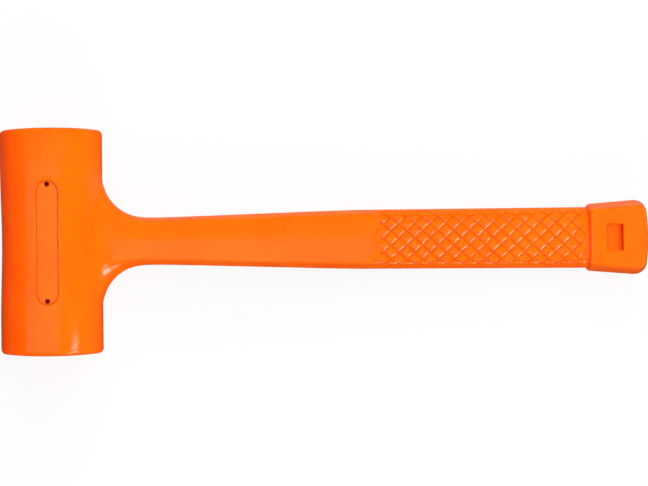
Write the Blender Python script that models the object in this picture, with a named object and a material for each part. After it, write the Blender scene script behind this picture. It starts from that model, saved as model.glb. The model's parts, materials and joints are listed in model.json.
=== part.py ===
"""A one-piece dead blow hammer: a cast urethane casing over a welded steel skeleton.

The head holds a steel canister, closed by two caps, with the handle rod welded to its side.
Files of steel shot slide in the canister. Lengths are metres.

The pieces are modelled on the hammer's own axes: X runs down the handle from the head's centre,
Y along the head and Z through the handle's thickness. One empty then lays the hammer on its side.
"""

import math

import bmesh
import bpy
from mathutils import Matrix, Vector

# Clearance between pieces that touch
FIT_GAP = 0.0003

# Head: a jacket over the canister, thinnest at the waist, that swells towards a straight stretch
# under each face. A face is flat in its middle and eases down to its rim.
HEAD_LENGTH = 0.1060
JACKET_WALL = 0.0058
HEAD_SWELL = 0.0007
END_STRAIGHT = 0.0130
FACE_WALL = 0.0090
FACE_CROWN = 0.0008
FACE_EASE = 0.0120
FACE_RIM_RADIUS = 0.0022

# Neck and handle, whose reach runs from the head's axis to the pommel's end
HANDLE_REACH = 0.2820
NECK_FILLET = 0.0198
NECK_LENGTH = 0.0100
NECK_WIDTH = 0.0222
NECK_THICKNESS = 0.0196
CREASE_RADIUS = 0.0015
SIDE_DRAFT = math.radians(14)
FRONT_CROWN = 0.0005

# Grip, after a plain lead of the same width
GRIP_LEAD = 0.0120
GRIP_LENGTH = 0.0987
GRIP_WIDTH = 0.0279
GRIP_TAIL_WIDTH = 0.0288
GRIP_THICKNESS = 0.0212
LOZENGE_LENGTH = 0.0075
GROOVE_WIDTH = 0.0014
GROOVE_DEPTH = 0.0006
LOZENGES_ACROSS = 3

# Pommel: a block that flares towards a crowned end, with drafted sides and an upright step at the grip
POMMEL_LENGTH = 0.0298
POMMEL_WIDTH = 0.0318
POMMEL_END_WIDTH = 0.0366
POMMEL_END_CROWN = 0.0008
POMMEL_THICKNESS = 0.0260
POMMEL_EDGE_RADIUS = 0.0015
POMMEL_STEP_RADIUS = 0.0020
POMMEL_CORNER_RADIUS = 0.0062
POMMEL_DRAFT = math.radians(13)
POCKET_LENGTH = 0.0078
POCKET_WIDTH = 0.0125
POCKET_DEPTH = 0.0050
POCKET_SETBACK = 0.0182

# Label recess, with the two holes that the mould's locating pins leave
LABEL_LENGTH = 0.0574
LABEL_WIDTH = 0.0102
LABEL_DEPTH = 0.0009
LABEL_DROP = 0.0004
PIN_HOLE_DIAMETER = 0.0024
PIN_HOLE_INSET = 0.0018

# Canister
CANISTER_DIAMETER = 0.0340
CANISTER_WALL = 0.0020
CANISTER_EDGE = 0.0006
CAP_THICKNESS = 0.0030
CAP_SHOULDER = 0.0008
CAP_EDGE = 0.0005

# Handle rod, flattened at its tail so that the urethane can't creep along it
ROD_DIAMETER = 0.0100
ROD_WELD = 0.0030
ROD_TAIL_COVER = 0.0309
TAIL_LENGTH = 0.0240
TAIL_WIDTH = 0.0136
TAIL_THICKNESS = 0.0064
TAIL_TAPER = 0.0080
TAIL_EDGE = 0.0010

# Shot: three balls lie across the canister, and the files fill this share of its length
SHOT_FILL = 0.78
RING_FILES = 6

# Facets
HEAD_SIDES = 48
HEAD_ROWS = 8
EASE_STEPS = 4
RIM_STEPS = 4
CREASE_STEPS = 4
FILLET_STEPS = 6
END_STEPS = 4
CROWN_STEPS = 3
ROD_SIDES = 20
HOLE_SIDES = 16
LABEL_COLUMNS = 12
LABEL_ROWS = 6
BALL_STEPS = 2

# How far a cutter or a joined shape runs past the surface that it meets
OVERRUN = 0.0040
# Points nearer than this are one point
WELD_DISTANCE = 1e-7
# Edges that turn more than this are shaded as edges
SHARP_ANGLE = math.radians(35)
# Halvings that settle the angle at which the hammer lies
LIE_STEPS = 60
# How far the fillet dips under the head and the grip into the pommel, so that they cross clearly
JOIN_SINK = 0.0002

# Sizes that follow from the ones above
canister_radius = CANISTER_DIAMETER / 2
waist_radius = canister_radius + FIT_GAP + JACKET_WALL
head_end_radius = waist_radius + HEAD_SWELL
head_half = HEAD_LENGTH / 2
face_slope = math.atan(2 * FACE_CROWN / FACE_EASE)
rim_height = head_half - FACE_CROWN - FACE_RIM_RADIUS * math.cos(face_slope)
pommel_start = HANDLE_REACH - POMMEL_LENGTH
grip_start = pommel_start - GRIP_LENGTH
taper_start = waist_radius + NECK_FILLET + NECK_LENGTH
taper_end = grip_start - GRIP_LEAD
canister_half = head_half - FACE_WALL - FIT_GAP
bore_radius = canister_radius - CANISTER_WALL
bore_half = canister_half - CAP_THICKNESS
rod_end = HANDLE_REACH - ROD_TAIL_COVER
pommel_half = POMMEL_THICKNESS / 2
pommel_flare = math.atan2((POMMEL_END_WIDTH - POMMEL_WIDTH) / 2, POMMEL_LENGTH)
end_slope = math.atan2(2 * POMMEL_END_CROWN, POMMEL_END_WIDTH / 2 - POMMEL_CORNER_RADIUS)
# How far the middle of the pommel's rounded edge lies in from its parting line
edge_turn = math.pi / 2 - POMMEL_DRAFT
edge_inset = pommel_half * math.tan(POMMEL_DRAFT) + POMMEL_EDGE_RADIUS * math.tan(edge_turn / 2)
ball_diameter = (2 * bore_radius - 4 * FIT_GAP) / 3
ball_pitch = ball_diameter + FIT_GAP
balls_per_file = int(SHOT_FILL * 2 * bore_half / ball_pitch)


def clear_scene():
    for obj in list(bpy.data.objects):
        bpy.data.objects.remove(obj)


def finish_material(name, colour, roughness, metallic):
    material = bpy.data.materials.new(name)
    material.use_nodes = True
    shader = material.node_tree.nodes["Principled BSDF"]
    shader.inputs["Base Color"].default_value = (*colour, 1)
    shader.inputs["Roughness"].default_value = roughness
    shader.inputs["Metallic"].default_value = metallic
    return material


def add_object(name, bm, parent, material=None, sharp_angle=SHARP_ANGLE):
    """Makes an object of the mesh. One with no material is a hidden helper for another piece."""
    bmesh.ops.recalc_face_normals(bm, faces=bm.faces)
    mesh = bpy.data.meshes.new(name)
    bm.to_mesh(mesh)
    bm.free()
    mesh.shade_smooth()
    mesh.set_sharp_from_angle(angle=sharp_angle)
    obj = bpy.data.objects.new(name, mesh)
    bpy.context.scene.collection.objects.link(obj)
    obj.parent = parent
    if material:
        mesh.materials.append(material)
    else:
        obj.hide_render = True
        obj.display_type = "WIRE"
    return obj


def add_empty(name, parent, location):
    empty = bpy.data.objects.new(name, None)
    bpy.context.scene.collection.objects.link(empty)
    empty.parent = parent
    empty.location = location
    return empty


def shape_by(obj, operation, helpers):
    """Joins the helpers to the object, or cuts them from it."""
    for helper in helpers:
        boolean = obj.modifiers.new(helper.name, "BOOLEAN")
        boolean.operation = operation
        boolean.object = helper


def turned(profile, steps, closed=False):
    """A profile of (radius, y) points, turned round the Y axis."""
    bm = bmesh.new()
    verts = [bm.verts.new((radius, y, 0)) for radius, y in profile]
    ends = verts[1:] + verts[:1] if closed else verts[1:]
    edges = [bm.edges.new(pair) for pair in zip(verts, ends)]
    bmesh.ops.spin(
        bm,
        geom=verts + edges,
        cent=(0, 0, 0),
        axis=(0, 1, 0),
        angle=math.tau,
        steps=steps,
        use_merge=True,
    )
    bmesh.ops.remove_doubles(bm, verts=bm.verts, dist=WELD_DISTANCE)
    return bm


def lofted(rings):
    """A skin over rings with equal counts of points, closed by a face at each end."""
    bm = bmesh.new()
    loops = [[bm.verts.new(point) for point in ring] for ring in rings]
    bands = []
    for lower, upper in zip(loops, loops[1:]):
        count = len(lower)
        band = []
        for k in range(count):
            after = (k + 1) % count
            band.append(bm.faces.new((lower[k], lower[after], upper[after], upper[k])))
        bands.append(band)
    bm.faces.new(loops[0])
    bm.faces.new(loops[-1])
    return bm, bands


def box(low, high):
    bm = bmesh.new()
    size = Vector(high) - Vector(low)
    bmesh.ops.create_cube(bm, size=1)
    bmesh.ops.scale(bm, vec=size, verts=bm.verts)
    bmesh.ops.translate(bm, vec=(Vector(low) + Vector(high)) / 2, verts=bm.verts)
    return bm


def arc(centre, radius, start, end, steps):
    """Points of an arc in a plane, from one angle to another."""
    angles = [start + (end - start) * k / steps for k in range(steps + 1)]
    return [(centre[0] + radius * math.cos(a), centre[1] + radius * math.sin(a)) for a in angles]


def head_radius(y):
    """The head is slimmest at its middle and swells smoothly to the straight part at each end."""
    share = min(1, abs(y) / (rim_height - END_STRAIGHT))
    return waist_radius + HEAD_SWELL * (1 - math.cos(math.pi * share)) / 2


def head_profile():
    """Half of the turned outline, from the face's centre round the rim to the waist, then mirrored."""
    rim_centre = (head_end_radius - FACE_RIM_RADIUS, rim_height)
    rim = arc(rim_centre, FACE_RIM_RADIUS, math.pi / 2 - face_slope, 0, RIM_STEPS)
    land = rim[0][0] - FACE_EASE
    shares = [k / EASE_STEPS for k in range(EASE_STEPS)]
    ease = [(land + FACE_EASE * share, head_half - FACE_CROWN * share**2) for share in shares]
    heights = [rim_height * (1 - k / HEAD_ROWS) for k in range(1, HEAD_ROWS)]
    upper = [(0, head_half), *ease, *rim]
    upper += [(head_radius(y), y) for y in heights]
    lower = [(radius, -y) for radius, y in reversed(upper)]
    return upper + [(head_radius(0), 0)] + lower


def section(half_width, half_thickness, crease_radius, draft, crown):
    """The handle's outline across its length, as (y, z) points round the loop.

    Its front and back are shallow crowns. A rounded crease joins each to a drafted side wall,
    and the two walls of a side meet at the parting line.
    """
    edge_height = half_thickness - crown
    corner = half_width - edge_height * math.tan(draft)
    turn = math.pi / 2 - draft
    flat = corner - crease_radius * math.tan(turn / 2)
    crease = arc((flat, edge_height - crease_radius), crease_radius, math.pi / 2, draft, CREASE_STEPS)
    columns = [flat * (1 - 2 * k / LOZENGES_ACROSS) for k in range(1, LOZENGES_ACROSS)]
    front = [(y, half_thickness - crown * (y / flat) ** 2) for y in columns]
    right = [*crease, (half_width, 0), *[(y, -z) for y, z in reversed(crease)]]
    back = [(y, -z) for y, z in front]
    left = [(-y, -z) for y, z in right]
    return right + back + left + front[::-1]


def grip_columns():
    """The places in a section's loop whose next side lies on the front or on the back."""
    crease_points = CREASE_STEPS + 1
    side = 2 * crease_points + 1
    half = side + LOZENGES_ACROSS - 1
    return [start + k for start in (side - 1, side - 1 + half) for k in range(LOZENGES_ACROSS)]


def outward_normals(outline):
    """The normal at each point of a loop that runs from +Y through -Z."""
    normals = []
    for k, _ in enumerate(outline):
        before = Vector(outline[k - 1])
        after = Vector(outline[(k + 1) % len(outline)])
        along = after - before
        normals.append(Vector((-along.y, along.x)).normalized())
    return normals


def ring_at(x, outline):
    return [Vector((x, y, z)) for y, z in outline]


def handle_outline(x):
    """The section of the handle at a distance from the head's axis."""
    if x < grip_start:
        share = min(1, max(0, (x - taper_start) / (taper_end - taper_start)))
        width = NECK_WIDTH + (GRIP_WIDTH - NECK_WIDTH) * share
    else:
        share = 1
        width = GRIP_WIDTH + (GRIP_TAIL_WIDTH - GRIP_WIDTH) * (x - grip_start) / GRIP_LENGTH
    thickness = NECK_THICKNESS + (GRIP_THICKNESS - NECK_THICKNESS) * share
    return section(width / 2, thickness / 2, CREASE_RADIUS, SIDE_DRAFT, FRONT_CROWN)


def fillet_rings():
    """Rings of the fillet that a ball leaves as it rolls round the neck, from inside the head out."""
    outline = handle_outline(0)
    columns = []
    for (y, z), normal in zip(outline, outward_normals(outline)):
        centre_y = y + NECK_FILLET * normal.x
        centre_z = z + NECK_FILLET * normal.y
        head = head_radius(centre_y) - JOIN_SINK
        centre_x = math.sqrt((head + NECK_FILLET) ** 2 - centre_z**2)
        centre = Vector((centre_x, centre_y, centre_z))
        to_handle = Vector((0, -normal.x, -normal.y))
        to_head = -Vector((centre_x, 0, centre_z)).normalized()
        column = []
        for k in range(FILLET_STEPS + 1):
            column.append(centre + NECK_FILLET * to_head.slerp(to_handle, k / FILLET_STEPS))
        sunk = column[0] + to_head * OVERRUN
        columns.append([sunk, *column])
    return [list(ring) for ring in zip(*columns)]


def pommel_outline(inset, step_inset):
    """The pommel's plan as (x, y) points, drawn in by one inset at its sides and end, and by
    another at its step."""
    side = math.pi / 2 + pommel_flare
    end = HANDLE_REACH - inset
    corners = (
        (pommel_start + step_inset, POMMEL_STEP_RADIUS, math.pi, (math.pi, side)),
        (end - POMMEL_END_CROWN, POMMEL_CORNER_RADIUS, end_slope, (side, end_slope)),
    )
    half = []
    for x, radius, facing, turns in corners:
        rounding = max(radius - inset, POMMEL_EDGE_RADIUS)
        middle = x - rounding * math.cos(facing)
        edge = POMMEL_WIDTH / 2 + (middle - pommel_start) * math.tan(pommel_flare)
        across = edge - (inset + rounding) / math.cos(pommel_flare)
        half += arc((middle, across), rounding, *turns, END_STEPS)
    corner = half[-1][1]
    for k in range(1, CROWN_STEPS):
        share = 1 - k / CROWN_STEPS
        half.append((end - POMMEL_END_CROWN * share**2, corner * share))
    return [*half, (end, 0), *[(x, -y) for x, y in reversed(half)]]


def pommel_mesh():
    """The pommel, lofted through its thickness: a drafted wall, a rounded edge and a flat each way."""
    centre = (edge_inset, pommel_half - POMMEL_EDGE_RADIUS)
    edge = arc(centre, POMMEL_EDGE_RADIUS, math.pi - POMMEL_DRAFT, math.pi / 2, CREASE_STEPS)
    foot = edge[0][0]
    front = []
    for inset, z in edge:
        step_inset = max(0, inset - foot)
        front.append([Vector((x, y, z)) for x, y in pommel_outline(inset, step_inset)])
    parting = [Vector((x, y, 0)) for x, y in pommel_outline(0, 0)]
    back = [[Vector((p.x, p.y, -p.z)) for p in ring] for ring in reversed(front)]
    return lofted([*back, parting, *front])[0]


def cut_lozenges(bm, cells):
    """Turns a grid of cells into whole lozenges, level with the handle, between V-shaped grooves."""
    outside = set(bm.faces) - set(cells)
    grid = dict.fromkeys(edge for face in cells for edge in face.edges)
    inner = [edge for edge in grid if outside.isdisjoint(edge.link_faces)]
    border = {vert for edge in grid if edge not in inner for vert in edge.verts}
    bmesh.ops.poke(bm, faces=cells)
    bmesh.ops.dissolve_edges(bm, edges=inner)
    pattern = [face for face in bm.faces if face not in outside]
    bottoms = dict.fromkeys(vert for face in pattern for vert in face.verts if vert not in border)
    whole = [face for face in pattern if len(face.verts) == 4]
    bmesh.ops.inset_individual(bm, faces=whole, thickness=GROOVE_WIDTH / 2)
    bm.normal_update()
    for vert, normal in [(vert, vert.normal.copy()) for vert in bottoms]:
        vert.co -= normal * GROOVE_DEPTH


def handle_mesh():
    """Neck, handle and grip in one loft, whose end is sunk in the pommel."""
    rings = fillet_rings()
    rings += [ring_at(x, handle_outline(x)) for x in (taper_start, taper_end)]
    first = len(rings)
    rows = max(1, round(GRIP_LENGTH / LOZENGE_LENGTH))
    pattern_length = GRIP_LENGTH + JOIN_SINK
    stations = [grip_start + pattern_length * k / rows for k in range(rows + 1)]
    rings += [ring_at(x, handle_outline(x)) for x in stations]
    rings.append(ring_at(pommel_start + OVERRUN, handle_outline(stations[-1])))
    bm, bands = lofted(rings)
    bmesh.ops.recalc_face_normals(bm, faces=bm.faces)
    columns = grip_columns()
    cut_lozenges(bm, [band[k] for band in bands[first : first + rows] for k in columns])
    return bm


def label_cutter():
    """A round-ended plate, bent round the head, that leaves the label's recess."""
    end = LABEL_WIDTH / 2
    straight = LABEL_LENGTH / 2 - end
    rings = []
    for lift in (-LABEL_DEPTH, OVERRUN):
        grid = []
        for k in range(LABEL_COLUMNS + 1):
            across = -end * math.cos(math.pi * k / LABEL_COLUMNS)
            half_length = straight + math.sqrt(max(0, end**2 - across**2))
            for row in range(LABEL_ROWS + 1):
                y = half_length * (2 * row / LABEL_ROWS - 1) - LABEL_DROP
                radius = head_radius(y) + lift
                turn = across / head_end_radius
                grid.append((radius * math.sin(turn), y, radius * math.cos(turn)))
        rings.append(grid)
    return sheet_solid(*rings, LABEL_COLUMNS + 1, LABEL_ROWS + 1)


def sheet_solid(lower, upper, columns, rows):
    """A closed solid between two grids of points, walled round their edges."""
    bm = bmesh.new()
    sheets = [[bm.verts.new(point) for point in grid] for grid in (lower, upper)]
    border = [k * rows for k in range(columns)]
    border += [(columns - 1) * rows + k for k in range(1, rows)]
    border += [k * rows + rows - 1 for k in range(columns - 2, -1, -1)]
    border += list(range(rows - 2, 0, -1))
    for verts in sheets:
        for k in range(columns - 1):
            for row in range(rows - 1):
                first = k * rows + row
                bm.faces.new([verts[first + step] for step in (0, 1, rows + 1, rows)])
    for here, after in zip(border, border[1:] + border[:1]):
        bm.faces.new((sheets[0][here], sheets[0][after], sheets[1][after], sheets[1][here]))
    return bm


def rod_rings(margin):
    """Rings of the handle rod from its weld to its flattened tail, grown all round by a margin."""
    radius = ROD_DIAMETER / 2
    weld = radius + ROD_WELD
    tail = (TAIL_WIDTH / 2, TAIL_THICKNESS / 2)
    tail_start = rod_end - TAIL_LENGTH
    stations = [
        (canister_radius - OVERRUN, weld, weld),
        (canister_radius, weld, weld),
        (canister_radius + ROD_WELD, radius, radius),
        (tail_start - TAIL_TAPER, radius, radius),
        (tail_start, *tail),
        (rod_end - TAIL_EDGE + margin, *tail),
        (rod_end + margin, tail[0] - TAIL_EDGE, tail[1] - TAIL_EDGE),
    ]
    rings = []
    for x, half_width, half_thickness in stations:
        across = half_width + margin
        through = half_thickness + margin
        turns = [math.tau * k / ROD_SIDES for k in range(ROD_SIDES)]
        rings.append([Vector((x, across * math.cos(a), through * math.sin(a))) for a in turns])
    return rings


def round_cutter(radius, low, high, sides):
    """A cylinder along Y between two heights."""
    return turned([(0, high), (radius, high), (radius, low), (0, low)], sides)


def pin_hole_cutter(y):
    bm = round_cutter(PIN_HOLE_DIAMETER / 2, canister_radius, head_end_radius + OVERRUN, HOLE_SIDES)
    bmesh.ops.rotate(bm, verts=bm.verts, cent=(0, 0, 0), matrix=Matrix.Rotation(math.pi / 2, 3, "X"))
    bmesh.ops.translate(bm, verts=bm.verts, vec=(0, y, 0))
    return bm


def pocket_cutter(side):
    """A rectangular pocket in the pommel's front or back."""
    x = HANDLE_REACH - POCKET_SETBACK
    floor = side * (pommel_half - POCKET_DEPTH)
    mouth = side * (pommel_half + OVERRUN)
    low = (x - POCKET_LENGTH / 2, -POCKET_WIDTH / 2, min(floor, mouth))
    high = (x + POCKET_LENGTH / 2, POCKET_WIDTH / 2, max(floor, mouth))
    return box(low, high)


def make_casing(hammer, urethane):
    """The one-piece casting, from the head's jacket to the pommel, hollow where the steel lies."""
    casing = add_object("casing", turned(head_profile(), HEAD_SIDES), hammer, urethane)
    handle = add_object("handle_shape", handle_mesh(), hammer)
    pommel = add_object("pommel_shape", pommel_mesh(), hammer)
    pin_place = LABEL_LENGTH / 2 - PIN_HOLE_INSET
    cutters = {
        "canister_space": round_cutter(
            canister_radius + FIT_GAP, -canister_half - FIT_GAP, canister_half + FIT_GAP, HEAD_SIDES
        ),
        "rod_space": lofted(rod_rings(FIT_GAP))[0],
        "label_space": label_cutter(),
        "pin_space_upper": pin_hole_cutter(pin_place - LABEL_DROP),
        "pin_space_lower": pin_hole_cutter(-pin_place - LABEL_DROP),
        "pocket_space_front": pocket_cutter(1),
        "pocket_space_back": pocket_cutter(-1),
    }
    shape_by(casing, "UNION", [handle, pommel])
    shape_by(casing, "DIFFERENCE", [add_object(name, bm, hammer) for name, bm in cutters.items()])


def make_canister(hammer, steel):
    """A tube with a shouldered seat at each end, and a cap in each seat."""
    seat = bore_radius + CAP_SHOULDER
    upper = [
        (bore_radius, bore_half),
        (seat, bore_half),
        (seat, canister_half),
        (canister_radius - CANISTER_EDGE, canister_half),
        (canister_radius, canister_half - CANISTER_EDGE),
    ]
    lower = [(radius, -y) for radius, y in reversed(upper)]
    add_object("canister_tube", turned(upper + lower, HEAD_SIDES, closed=True), hammer, steel)
    rim = seat - FIT_GAP
    inner = bore_half + FIT_GAP
    for name, side in (("canister_cap_upper", 1), ("canister_cap_lower", -1)):
        disc = [
            (0, inner),
            (rim - CAP_EDGE, inner),
            (rim, inner + CAP_EDGE),
            (rim, canister_half - CAP_EDGE),
            (rim - CAP_EDGE, canister_half),
            (0, canister_half),
        ]
        add_object(name, turned([(radius, side * y) for radius, y in disc], HEAD_SIDES), hammer, steel)


def make_rod(hammer, steel):
    """The rod's foot is coped to sit on the canister, where its weld flares out."""
    rod = add_object("handle_rod", lofted(rod_rings(0))[0], hammer, steel)
    cope = round_cutter(canister_radius + FIT_GAP, -canister_half, canister_half, HEAD_SIDES)
    shape_by(rod, "DIFFERENCE", [add_object("cope_space", cope, hammer)])


def make_shot(hammer, steel):
    """Files of balls, one along the head's axis and six round it, lying against the lower cap."""
    places = [(0, 0)]
    for k in range(RING_FILES):
        turn = math.tau * k / RING_FILES
        places.append((ball_pitch * math.cos(turn), ball_pitch * math.sin(turn)))
    first_y = -bore_half + FIT_GAP + ball_diameter / 2
    for file, (x, z) in enumerate(places, start=1):
        carrier = add_empty(f"shot_file_{file}", hammer, (x, first_y, z))
        for place in range(balls_per_file):
            bm = bmesh.new()
            bmesh.ops.create_icosphere(bm, subdivisions=BALL_STEPS, radius=ball_diameter / 2)
            ball = add_object(f"shot_ball_{file}_{place + 1}", bm, carrier, steel, sharp_angle=math.pi)
            ball.location.y = place * ball_pitch


def lie_angle():
    """How far the handle drops when the head's side and the pommel's end rest on one floor."""
    reach = HANDLE_REACH - edge_inset
    depth = pommel_half - POMMEL_EDGE_RADIUS
    low, high = 0, math.pi / 4
    for _ in range(LIE_STEPS):
        angle = (low + high) / 2
        drop = reach * math.sin(angle) + depth * math.cos(angle) + POMMEL_EDGE_RADIUS
        low, high = (angle, high) if drop < head_end_radius else (low, angle)
    return angle


def make_hammer():
    """An empty at the head's centre, placed so that the hammer lies centred over the origin."""
    angle = lie_angle()
    far_end = HANDLE_REACH * math.cos(angle)
    hammer = add_empty("hammer", None, ((head_end_radius - far_end) / 2, 0, head_end_radius))
    hammer.rotation_euler.y = angle
    return hammer


def main():
    clear_scene()
    hammer = make_hammer()
    urethane = finish_material("orange_urethane", (1.0, 0.18, 0.01), 0.3, 0.0)
    steel = finish_material("mild_steel", (0.42, 0.42, 0.43), 0.45, 1.0)
    shot_steel = finish_material("shot_steel", (0.50, 0.50, 0.52), 0.3, 1.0)
    make_casing(hammer, urethane)
    make_canister(hammer, steel)
    make_rod(hammer, steel)
    make_shot(hammer, shot_steel)


main()
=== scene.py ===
"""A one-piece dead blow hammer: a glossy urethane casting over its steel canister, rod and shot."""

import json
import math

import bmesh
import bpy
from mathutils import Matrix, Quaternion, Vector


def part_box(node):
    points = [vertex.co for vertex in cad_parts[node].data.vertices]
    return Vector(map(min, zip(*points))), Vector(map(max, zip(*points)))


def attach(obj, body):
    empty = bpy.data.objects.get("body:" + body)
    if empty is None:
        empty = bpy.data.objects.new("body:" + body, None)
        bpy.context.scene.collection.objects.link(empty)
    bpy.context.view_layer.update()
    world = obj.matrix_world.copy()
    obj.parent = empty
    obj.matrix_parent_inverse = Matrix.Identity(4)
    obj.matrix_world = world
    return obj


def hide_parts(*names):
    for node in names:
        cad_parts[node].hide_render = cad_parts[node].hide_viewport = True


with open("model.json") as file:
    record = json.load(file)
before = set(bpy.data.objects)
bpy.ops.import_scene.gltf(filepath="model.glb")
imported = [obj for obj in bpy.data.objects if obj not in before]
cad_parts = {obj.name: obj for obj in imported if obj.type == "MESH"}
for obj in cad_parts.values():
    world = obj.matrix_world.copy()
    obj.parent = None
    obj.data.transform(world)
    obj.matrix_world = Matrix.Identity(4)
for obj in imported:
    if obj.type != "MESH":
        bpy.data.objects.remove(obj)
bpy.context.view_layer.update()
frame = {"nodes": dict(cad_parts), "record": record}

# The hammer's own axes: X down the handle from the head's centre, Y along the head, Z to its front
canister_low, canister_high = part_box("canister_tube")
head_centre = (canister_low + canister_high) / 2
mounts = {mount["name"]: mount for mount in frame["record"]["mounts"]}
front_axis = mounts["pommel_front"]["axis"]
lie_angle = math.atan2(front_axis[0], front_axis[2])
hammer_axes = Matrix.Translation(head_centre) @ Matrix.Rotation(lie_angle, 4, "Y")

# Head
HEAD_HALF = 0.0530
WAIST_RADIUS = 0.0231
HEAD_SWELL = 0.0007
END_STRAIGHT = 0.0130
FACE_CROWN = 0.0008
FACE_EASE = 0.0120
FACE_SLOPE = math.atan(2 * FACE_CROWN / FACE_EASE)
RIM_RADIUS = 0.0022
RIM_HEIGHT = HEAD_HALF - FACE_CROWN - RIM_RADIUS * math.cos(FACE_SLOPE)
END_RADIUS = WAIST_RADIUS + HEAD_SWELL
HEAD_SIDES = 32
SIDE_TURN = math.tau / HEAD_SIDES
WINDOW_ROWS = [-0.0360, -0.0216, -0.0072, 0.0072, 0.0216, 0.0360]
OUTER_ROW = 0.0430
NECK_WINDOW = 5
LABEL_WINDOW = 2
CAGE_STEPS = 3
FORM_STEPS = 12
FORM_HALF_ROWS = 16
FORM_SIDES = 192
# The head's own points lie no farther down the handle than this
HEAD_REACH = 0.03

# Label recess
LABEL_HALF_LENGTH = 0.0287
LABEL_HALF_WIDTH = 0.0051
LABEL_DEPTH = 0.0009
LABEL_DROP = 0.0004
PIN_HOLE_RADIUS = 0.0012
PIN_PLACE = 0.0269
PIN_FLARE = 1.25
PIN_FLARE_DEPTH = 0.0002
PIN_OVERLAP = 0.0005

# Neck, handle and grip
NECK_FILLET = 0.0198
FILLET_STEPS = 6
NECK_HALF_WIDTH = 0.0111
NECK_HALF_THICKNESS = 0.0098
TAPER_START = 0.0529
TAPER_END = 0.1415
TAPER_STEPS = 4
GRIP_START = 0.1513
GRIP_HALF_WIDTH = 0.01395
TAIL_HALF_WIDTH = 0.0144
GRIP_HALF_THICKNESS = 0.0106
CREASE_RADIUS = 0.0015
UPPER_CREASE_RADIUS = 0.0038
CREASE_STEPS = 4
SIDE_DRAFT = math.radians(14)
CREASE_TURN = math.pi / 2 - SIDE_DRAFT
FRONT_CROWN = 0.0005
WALL_SHARE = 0.55
GRIP_ROWS = 14
GRIP_OVERRUN = 0.0026
HIDDEN_ENDS = (0.0060, 0.0100)
LOZENGES_ACROSS = 3.13
LOZENGE_HEIGHT = 0.0068
LATTICE_EDGE = 0.00035
GROOVE_DEPTH = 0.00090
# How far each step draws a lozenge in, and the level that it lies at
PAD_STEPS = [(0.00032, -0.00058), (0.00062, -0.00018), (0.00045, -0.00002)]
PAD_CORNER_CREASE = 0.8
# Which of a grip section's front points lie on the creases' own lines, which the lozenges bend over
CREASE_POINTS = (2, 3, 5, 6, 10, 11, 12, 13)
# The skin is spread out flat a metre off, and all that lies beyond this height belongs to it
CLEAR_OF_HAMMER = 0.5

# Pommel
POMMEL_START = 0.2522
POMMEL_END = 0.2820
POMMEL_HALF_WIDTH = 0.0159
POMMEL_END_HALF_WIDTH = 0.0183
POMMEL_END_CROWN = 0.0008
POMMEL_HALF_THICKNESS = 0.0130
POMMEL_FLARE = math.atan2(POMMEL_END_HALF_WIDTH - POMMEL_HALF_WIDTH, POMMEL_END - POMMEL_START)
POMMEL_EDGE = 0.0015
POMMEL_EDGE_STEPS = 6
EDGE_HOLD = 0.0005
PARTING_HOLD = 0.0007
PARTING_INSET = 0.0001
STEP_CORNER = 0.0020
POMMEL_CORNER = 0.0062
END_SLOPE = math.atan2(2 * POMMEL_END_CROWN, POMMEL_END_HALF_WIDTH - POMMEL_CORNER)
POMMEL_DRAFT = math.radians(13)
POCKET_CENTRE = 0.2638
POCKET_HALF_LENGTH = 0.0039
POCKET_HALF_WIDTH = 0.00625
POCKET_DEPTH = 0.0050
POCKET_CORNER = 0.0007
POCKET_FLARE = 0.0004
POCKET_FLARE_START = 0.0002

# Steel
CANISTER_SPACE = 0.0173
CANISTER_HALF = 0.0440
CANISTER_SIDES = 64
ROD_SPACE = 0.0053
ROD_FOOT_SPACE = 0.0083
ROD_FOOT_MIDDLE = 0.0150
ROD_FOOT_DEPTH = 0.0040
ROD_SHANK_START = 0.0200
ROD_SHANK_END = 0.2191
ROD_TAIL_START = 0.2271
ROD_TAIL = 0.2514
ROD_TAIL_SPACE = (0.0071, 0.0035)

# Shot, as shares of a ball's radius
SHOT_FLAT_FROM = 0.97
SHOT_FLAT = 0.975
SHOT_BAND = 0.05
SHOT_BAND_SWELL = 1.004

# Modelling
SAME_POINT = 1e-6
SAME_PLACE = 1e-5
ON_SKIN = 2e-6
PLUG_SIDES = 32
PLUG_OVERRUN = 0.003
SHARP_ANGLE = math.radians(38)
# The bend, as one over a radius in metres, that counts as a full ridge
FULL_RIDGE = 1500

# Colours
WHITE = (1, 1, 1, 1)
DEEP_ORANGE = (0.98, 0.128, 0.0006, 1)
BRIGHT_ORANGE = (1.0, 0.143, 0.0010, 1)
SPECK_ORANGE = (1.0, 0.17, 0.004, 1)
RUBBED_ORANGE = (1.0, 0.18, 0.012, 1)
# Painted light for the floors of the pommel's pockets
POCKET_PAINTED_LIGHT = (1.0, 0.162, 0.0010, 1)
# Painted shade for the grooves and the recesses' walls
CREVICE_PAINTED_SHADE = (0.42, 0.048, 0.0005, 1)
# Painted light: the red glow seen through the pin holes, as of light through the orange casing
PIN_GLOW_PAINTED_RED = (0.95, 0.008, 0.0006, 1)
SCALE_DARK = (0.055, 0.050, 0.050, 1)
SCALE_WORN = (0.20, 0.19, 0.19, 1)
RUST_BROWN = (0.12, 0.045, 0.018, 1)
SHOT_DULL = (0.24, 0.25, 0.27, 1)
SHOT_RUBBED = (0.55, 0.55, 0.56, 1)
PAPER_GREY = (0.72, 0.72, 0.72, 1)
CARD_RED = (1, 0.04, 0.01)

# Studio and camera
FLOOR_SIZE = 6
PAPER_WHITENESS = 0.88
PAPER_SHINE = 0.03
CARD_SHINE = 0.22
BACKDROP_LIGHT = 0.04
FOCAL = 2000.0
PIXEL = 0.0004694
ROLL = math.radians(-0.50)
SENSOR_WIDTH = 36
IMAGE_WIDTH, IMAGE_HEIGHT = 648, 486
HEAD_IN_IMAGE = (51.85, 242.0)


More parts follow.
